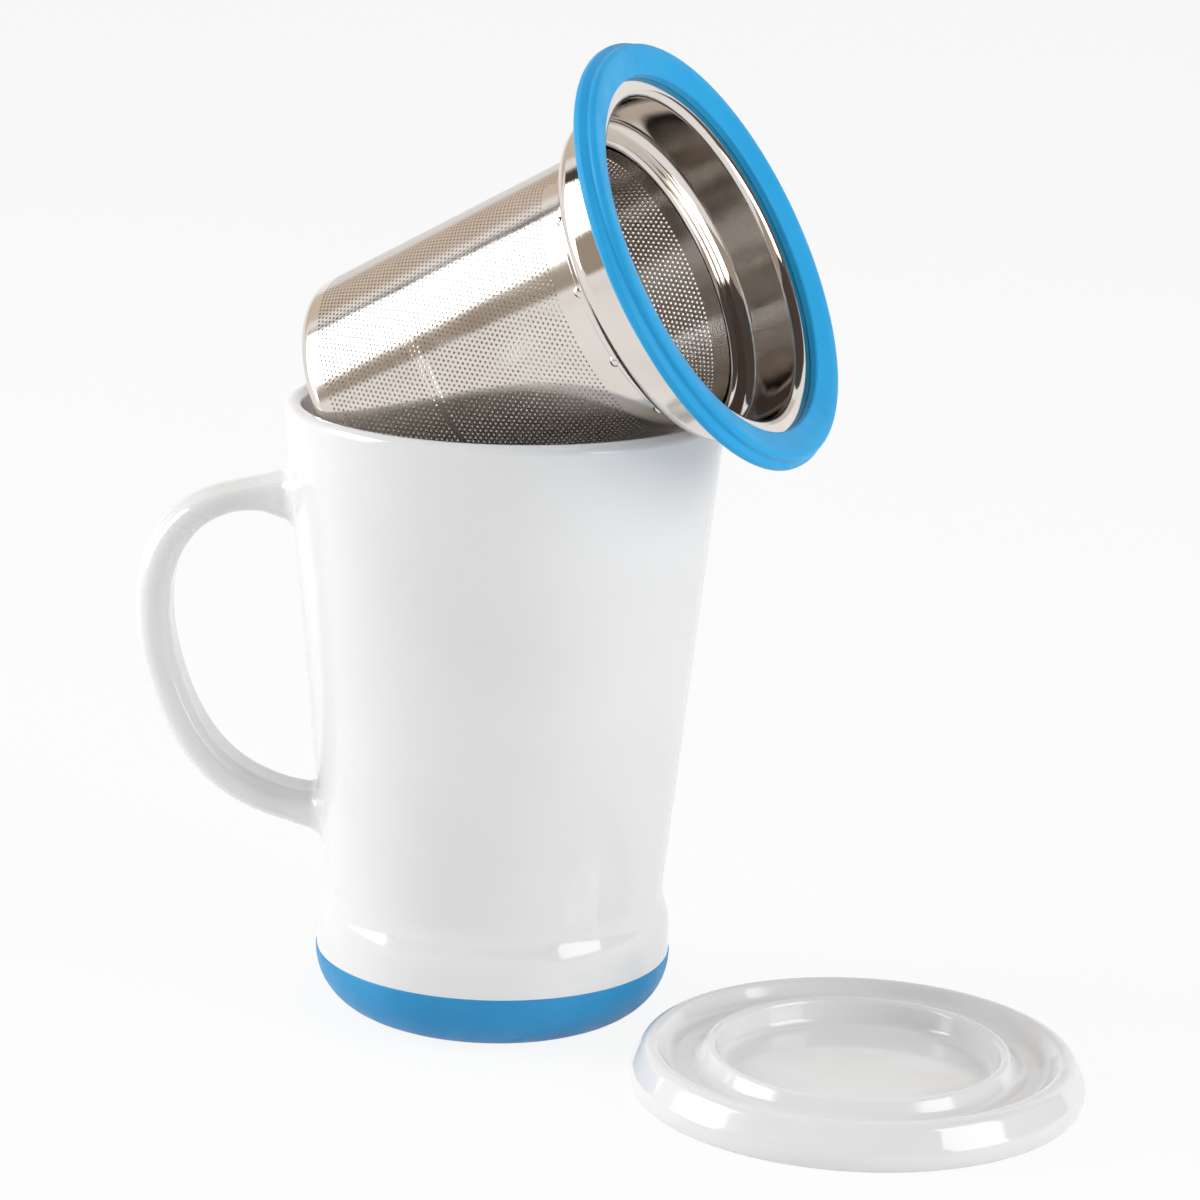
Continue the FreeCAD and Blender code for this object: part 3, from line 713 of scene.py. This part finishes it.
def punched_rows(sheet, first):
    """A panel's rows of cells, from its first column on."""
    for row in range(HOLE_ROWS):
        up = HOLE_TOP - row * ROW_PITCH
        width = 2 * math.pi * sleeve_radius(up) / HOLE_COLUMNS
        for column in range(first, first + PANEL_COLUMNS):
            plain = ((row < SHORT_ROWS and not SHORT_FROM <= column < SHORT_TO)
                     or (row == PLAIN_ROW and PLAIN_FROM <= column < PLAIN_TO))
            sheet.cell(column + row % 2 / 2, up, width, ROW_PITCH, 0 if plain else HOLE_RADIUS)


def plain_margins(sheet, first):
    """A panel's plain sheet above and below its rows. Gives each outer edge and the way it faces."""
    edges = []
    low_shift = (HOLE_ROWS - 1) % 2 / 2
    for start, middle, side, end in ((first - 0.5, HOLE_TOP, 1, SLEEVE_TOP),
                                     (first + low_shift - 0.5, HOLE_LOW, -1, SEAM)):
        zigzag = [sheet.spot(start + half / 2, middle + side * ROW_PITCH * (1 + half % 2) / 3)
                  for half in range(2 * PANEL_COLUMNS + 1)]
        plain = [sheet.spot(start + half / 2, end) for half in range(2 * PANEL_COLUMNS + 1)]
        if side < 0:
            zigzag.reverse()
            plain.reverse()
        sheet.faces += [(zigzag[half], zigzag[half + 1], plain[half + 1], plain[half])
                        for half in range(2 * PANEL_COLUMNS)]
        edges.append((plain, (0.0, 0.0, float(side))))
    return edges


def rolled_sleeve(column, height):
    """Where a spot of the sleeve's flat pattern comes to lie outside and inside, and its normal."""
    angle = 2 * math.pi * column / HOLE_COLUMNS
    cosine, sine = math.cos(angle), math.sin(angle)
    if SEAM < height < SLEEVE_TOP:
        height += PATTERN_LEAN * math.cos(angle - PATTERN_BEARING)
    radius = sleeve_radius(height)
    return ((radius * cosine, radius * sine, height),
            ((radius - MESH_SHEET) * cosine, (radius - MESH_SHEET) * sine, height),
            (cosine, sine, -SLEEVE_LEAN))


def sleeve():
    """The punched sleeve, in panels that are laid out flat and then rolled up."""
    for index in range(SLEEVE_PANELS):
        sheet = Sheet()
        punched_rows(sheet, index * PANEL_COLUMNS)
        edges = plain_margins(sheet, index * PANEL_COLUMNS)
        vertices, faces, normals = thick_sheet(sheet, rolled_sleeve, edges)
        mesh_piece(f"sleeve_{index + 1}", vertices, faces, normals, "infuser", PUNCHED,
                   ["basket_sleeve"], INFUSER_PLACE)


FLOOR_HOLES_REACH = 22.6
FLOOR_WIDTH = 1.05
FLOOR_OVERLAP = 0.01
SEAM_BEND = 0.02
FLAT_RADIUS = BASKET_RADIUS - BASKET_BEND


def punched_floor():
    """The floor's cells in staggered rows, as far as they reach."""
    pitch = FLOOR_WIDTH * math.sqrt(3) / 2
    sheet = Sheet()
    rows, columns = int(FLOOR_HOLES_REACH / pitch), int(FLOOR_HOLES_REACH / FLOOR_WIDTH) + 1
    for row in range(-rows, rows + 1):
        for column in range(-columns, columns + 1):
            across, up = column + row % 2 / 2, row * pitch
            if math.hypot(across * FLOOR_WIDTH, up) < FLOOR_HOLES_REACH:
                sheet.cell(across, up, FLOOR_WIDTH, pitch, HOLE_RADIUS)
    return sheet


def pattern_edge(sheet):
    """The corners round the outside of a pattern, in order."""
    used = {}
    for face in sheet.faces:
        used.update(dict.fromkeys(zip(face, face[1:] + face[:1])))
    after = {here: there for here, there in used if (there, here) not in used}
    for hole in sheet.holes:
        for spot in hole:
            after.pop(spot, None)
    loop = [next(iter(after))]
    while after[loop[-1]] != loop[0]:
        loop.append(after[loop[-1]])
    return loop


def floor_margin(sheet):
    """The plain sheet between the floor's cells and the circle where it bends up."""
    loop = pattern_edge(sheet)
    circle = [sheet.spot(FLAT_RADIUS * math.cos(angle) / FLOOR_WIDTH, FLAT_RADIUS * math.sin(angle))
              for angle in np.linspace(0, 2 * math.pi, SEGMENTS, endpoint=False)]
    corners = circle + loop
    flat = [Vector(sheet.spots[corner]) for corner in corners]
    rings = [list(range(len(circle))), list(range(len(circle), len(corners)))]
    _, _, triangles, came, _, sources = geometry.delaunay_2d_cdt(flat, [], rings, 1, 1e-5, True)
    for triangle, source in zip(triangles, sources):
        if 1 not in source:
            sheet.faces.append(tuple(corners[came[corner][0]] for corner in triangle))


def laid_floor(across, up):
    """Where a spot of the floor's flat pattern comes to lie outside and inside, and its normal."""
    return ((across * FLOOR_WIDTH, -up, -BASKET_DEPTH),
            (across * FLOOR_WIDTH, -up, -BASKET_DEPTH + MESH_SHEET),
            (0, 0, -1))


def basket_floor():
    """The basket's punched floor with its turned-up edge."""
    sheet = punched_floor()
    floor_margin(sheet)
    vertices, faces, normals = thick_sheet(sheet, laid_floor, [])
    base, inner = -BASKET_DEPTH, BASKET_RADIUS - MESH_SHEET
    lean = SLEEVE_LEAN * BASKET_BEND
    side, side_faces, side_normals = turned([
        (FLAT_RADIUS - FLOOR_OVERLAP, base, 0),
        (BASKET_RADIUS - lean, base, BASKET_BEND),
        (BASKET_RADIUS, SEAM, SEAM_BEND),
        (inner, SEAM, SEAM_BEND),
        (inner - lean, base + MESH_SHEET, BASKET_BEND - MESH_SHEET),
        (FLAT_RADIUS - FLOOR_OVERLAP, base + MESH_SHEET, 0),
    ])
    faces += [tuple(corner + len(vertices) for corner in face) for face in side_faces]
    mesh_piece("basket_floor_sheet", np.concatenate((vertices, side)), faces,
               np.concatenate((normals, side_normals)), "infuser", PUNCHED,
               ["basket_floor"], INFUSER_PLACE)


WELDS = 12
WELD_FIRST = 24.0
WELD_HEIGHT = 0.45
WELD_SEGMENTS = 32
WELD_OUTLINE = [(1.25, -0.5, 0), (1.0, 0.1, 0.5), (0.5, WELD_HEIGHT, 0.6), (0, WELD_HEIGHT + 0.05, 0)]


def welds():
    """The small flattened beads between the neck's end and the sleeve."""
    vertices, faces, normals = [], [], []
    bead, bead_faces, bead_normals = turned(WELD_OUTLINE, segments=WELD_SEGMENTS)
    for index in range(WELDS):
        angle = math.radians(WELD_FIRST + 360 / WELDS * index)
        turn = Matrix.Rotation(angle, 3, "Z") @ Matrix.Rotation(math.pi / 2, 3, "Y")
        middle = turn @ Vector((0, 0, NECK_RADIUS + COLLAR_SHEET / 2))
        middle.z += NECK_END
        start = len(vertices)
        vertices += [tuple(turn @ Vector(spot) + middle) for spot in bead]
        normals += [tuple(turn @ Vector(way)) for way in bead_normals]
        faces += [tuple(corner + start for corner in face) for face in bead_faces]
    mesh_piece("weld_beads", vertices, faces, normals, "infuser", POLISHED,
               ["weld_spots"], INFUSER_PLACE)


LID_FOOT_INSET = 1.5
LID_FOOT_BEND = 1.3
LID_SIDE_INSET = 0.1
LID_SIDE_HEIGHT = 2.7
LID_SIDE_BEND = 5.0
CREST_RADIUS = (RING_MOUTH + FLANGE_RADIUS + RING_RADIUS) / 3
CREST_BEND = 2.0
CREST_EDGE_BEND = 3.4
CHANNEL_DEPTH = 3.4
CHANNEL_BEND = 3.0
RIDGE_BEND = 1.2
WELL_RADIUS = BASKET_RADIUS + 0.7
WELL_TAPER = 0.5
WELL_FLOOR = 3.6
WELL_BEND = 2.0


def lid():
    """The lid, crest upwards: a sloping edge, a crest, a channel, an inner ring and a well."""
    outer, inner = CREST_RADIUS - CREST_BEND / 2, WELL_RADIUS + RIDGE_BEND * 4 / 3
    channel, slope = LID_HEIGHT - CHANNEL_DEPTH, CHANNEL_DEPTH * 3 / 4
    vertices, faces, normals = turned([
        (0, 0, 0),
        (LID_RADIUS - LID_FOOT_INSET, 0, LID_FOOT_BEND),
        (LID_RADIUS - LID_SIDE_INSET, LID_SIDE_HEIGHT, LID_SIDE_BEND),
        (CREST_RADIUS + CREST_BEND * 2 / 3, LID_HEIGHT, CREST_EDGE_BEND),
        (outer, LID_HEIGHT, CREST_BEND),
        (outer - slope, channel, CHANNEL_BEND),
        (inner + slope, channel, CHANNEL_BEND),
        (inner, LID_HEIGHT, RIDGE_BEND),
        (WELL_RADIUS, LID_HEIGHT, RIDGE_BEND),
        (WELL_RADIUS - WELL_TAPER, WELL_FLOOR, WELL_BEND),
        (0, WELL_FLOOR, 0),
    ])
    mesh_piece("lid_disc", vertices, faces, normals, "lid", GLAZE, ["lid"], LID_PLACE)


for build in (mug_cup, mug_boot, mug_handle, collar, ring, sleeve, basket_floor, welds, lid):
    build()


# The studio. Lamps, cards and the table are in metres. A lamp has a place, a point that it faces, a width,
# a height and a power, and whether reflections show it. A card has a colour in place of the last two.
CAMERA_PLACE = Vector((20.11, -804.36, 287.17))
CAMERA_PITCH, CAMERA_ROLL = math.radians(14.01), math.radians(1.78)
CAMERA_SENSOR, CAMERA_LENS = 36.0, 122.26
LAMPS = {
    "left_softbox": ((-1.12, -0.05, 0.53), (0, 0, 0.10), 0.71, 0.90, 10.8, True),
    "right_softbox": ((0.97, -0.56, 0.51), (0, 0, 0.10), 0.64, 0.83, 7.0, True),
    "top_fill": ((0, -0.1, 1.5), (0, 0, 0), 1.6, 1.6, 3.5, False),
}
CARDS = {
    "dark_ceiling": ((0, -0.9, 1.6), (0, -0.9, 0), 4.6, 3.6, (0.075, 0.062, 0.055, 1)),
    "dark_front": ((-1.5, -1.75, 1.23), (-1.5, 0, 1.23), 6.2, 1.8, (0.42, 0.36, 0.30, 1)),
    "dark_right": ((1.9, -0.6, 1.2), (0, -0.6, 1.2), 3.6, 2.2, (0.14, 0.115, 0.10, 1)),
    "warm_wall": ((-0.8, 1.9, 1.5), (-0.8, 0, 1.5), 4.4, 1.5, (0.74, 0.63, 0.54, 1)),
}
TABLE_REACH = 6.0
TABLE_GREY = 0.92
TABLE_ROUGHNESS = 0.9
TABLE_GLOW = 0.9
WORLD_FILL = 0.3


def camera():
    """The photograph's viewpoint, for a square picture."""
    data = bpy.data.cameras.new("camera")
    data.sensor_width, data.lens = CAMERA_SENSOR, CAMERA_LENS
    view = bpy.data.objects.new("camera", data)
    turn = Matrix.Rotation(math.pi / 2 - CAMERA_PITCH, 4, "X") @ Matrix.Rotation(CAMERA_ROLL, 4, "Z")
    view.matrix_world = Matrix.Translation(CAMERA_PLACE * MM) @ turn
    bpy.context.scene.collection.objects.link(view)
    bpy.context.scene.camera = view


def facing(place, aim):
    """A pose at a place, with its own -Z axis towards the aim."""
    way = Vector(aim) - Vector(place)
    return Matrix.Translation(place) @ way.to_track_quat("-Z", "Y").to_matrix().to_4x4()


def lamp(name, place, aim, width, height, power, reflected):
    """A soft rectangular lamp."""
    data = bpy.data.lights.new(name, "AREA")
    data.shape, data.size, data.size_y = "RECTANGLE", width, height
    data.energy = power
    light = bpy.data.objects.new(name, data)
    light.matrix_world = facing(place, aim)
    light.visible_glossy = reflected
    bpy.context.scene.collection.objects.link(light)


def seen_directly(tree):
    """1 where a camera, glossy or transmission ray looks at the surface."""
    path = tree.nodes.new("ShaderNodeLightPath")
    total = path.outputs["Is Camera Ray"]
    for name in ("Is Glossy Ray", "Is Transmission Ray"):
        node = tree.nodes.new("ShaderNodeMath")
        node.operation = "MAXIMUM"
        tree.links.new(total, node.inputs[0])
        tree.links.new(path.outputs[name], node.inputs[1])
        total = node.outputs[0]
    return total


def flat_sheet(name, across, up):
    """A flat rectangle round its own middle, and its new material."""
    mesh = bpy.data.meshes.new(name)
    corners = [(-across, -up, 0), (across, -up, 0), (across, up, 0), (-across, up, 0)]
    mesh.from_pydata(corners, [], [(0, 1, 2, 3)])
    sheet = bpy.data.objects.new(name, mesh)
    bpy.context.scene.collection.objects.link(sheet)
    material = bpy.data.materials.new(name)
    material.use_nodes = True
    mesh.materials.append(material)
    return sheet, material.node_tree


def floor():
    """A plain white table, kept nearly white where it is seen, with the object's shadow on it."""
    sheet, tree = flat_sheet("floor", TABLE_REACH, TABLE_REACH)
    shader = tree.nodes["Principled BSDF"]
    shader.inputs["Base Color"].default_value = grey(TABLE_GREY)
    shader.inputs["Roughness"].default_value = TABLE_ROUGHNESS
    shader.inputs["Specular IOR Level"].default_value = 0.0
    glow = tree.nodes.new("ShaderNodeEmission")
    mix = tree.nodes.new("ShaderNodeMixShader")
    share = tree.nodes.new("ShaderNodeMath")
    share.operation = "MULTIPLY"
    share.inputs[1].default_value = TABLE_GLOW
    tree.links.new(seen_directly(tree), share.inputs[0])
    tree.links.new(share.outputs[0], mix.inputs[0])
    tree.links.new(shader.outputs[0], mix.inputs[1])
    tree.links.new(glow.outputs[0], mix.inputs[2])
    tree.links.new(mix.outputs[0], tree.nodes["Material Output"].inputs["Surface"])


def card(name, place, aim, width, height, colour):
    """A card round the table, which only reflections show."""
    sheet, tree = flat_sheet(name, width / 2, height / 2)
    sheet.matrix_world = facing(place, aim)
    glow = tree.nodes.new("ShaderNodeEmission")
    glow.inputs["Color"].default_value = colour
    tree.links.new(glow.outputs[0], tree.nodes["Material Output"].inputs["Surface"])
    sheet.visible_camera = sheet.visible_diffuse = False
    sheet.visible_shadow = sheet.visible_transmission = False


def world():
    """White where it is seen directly, and a plain fill light on the object."""
    scene_world = bpy.data.worlds.new("studio")
    bpy.context.scene.world = scene_world
    scene_world.use_nodes = True
    tree = scene_world.node_tree
    background = tree.nodes["Background"]
    background.inputs["Color"].default_value = grey(1.0)
    node = tree.nodes.new("ShaderNodeMapRange")
    node.inputs["To Min"].default_value = WORLD_FILL
    node.inputs["To Max"].default_value = 1.0
    tree.links.new(seen_directly(tree), node.inputs["Value"])
    tree.links.new(node.outputs[0], background.inputs["Strength"])


camera()
floor()
world()
for lamp_name, settings in LAMPS.items():
    lamp(lamp_name, *settings)
for card_name, settings in CARDS.items():
    card(card_name, *settings)
bpy.context.scene.view_settings.view_transform = "Standard"
